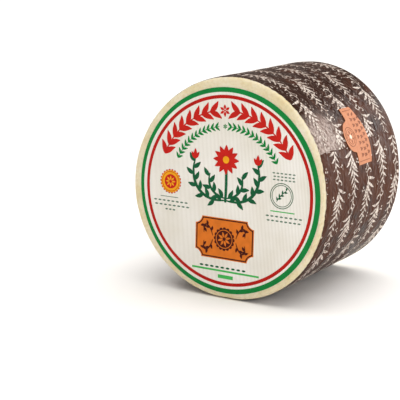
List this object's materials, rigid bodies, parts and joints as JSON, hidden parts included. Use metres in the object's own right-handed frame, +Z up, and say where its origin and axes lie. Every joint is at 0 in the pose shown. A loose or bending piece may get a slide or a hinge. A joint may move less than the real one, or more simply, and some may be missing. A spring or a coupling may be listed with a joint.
{
  "type": "pecorino romano cheese wheel",
  "caption": "Whole wheel of hard sheep's milk cheese lying on its side, with a dark printed wrap round the side, a round paper label on one face and an orange sticker.",
  "frame": {"origin": "middle of the foot of the bounding box, on the surface that the wheel stands on", "axes": "+Z up; the wheel's axis runs along Y and the labelled face looks to -Y, leaning back by two degrees; the sticker is on the +X side"},
  "size_m": [0.3292, 0.2755, 0.3302],
  "materials": {
    "cream_rind": "dry cream-coloured cheese rind, fine grain",
    "dark_wrap": "thin dark brown film with a white print, slightly wrinkled",
    "label_paper": "ribbed off-white laminated paper, green, white and red rings",
    "sticker_orange": "orange paper sticker, soft sheen"
  },
  "bodies": {
    "root": {"cheese": "cream_rind", "side_wrap": "dark_wrap", "face_label": "label_paper", "side_sticker": "sticker_orange"}
  },
  "joints": []
}
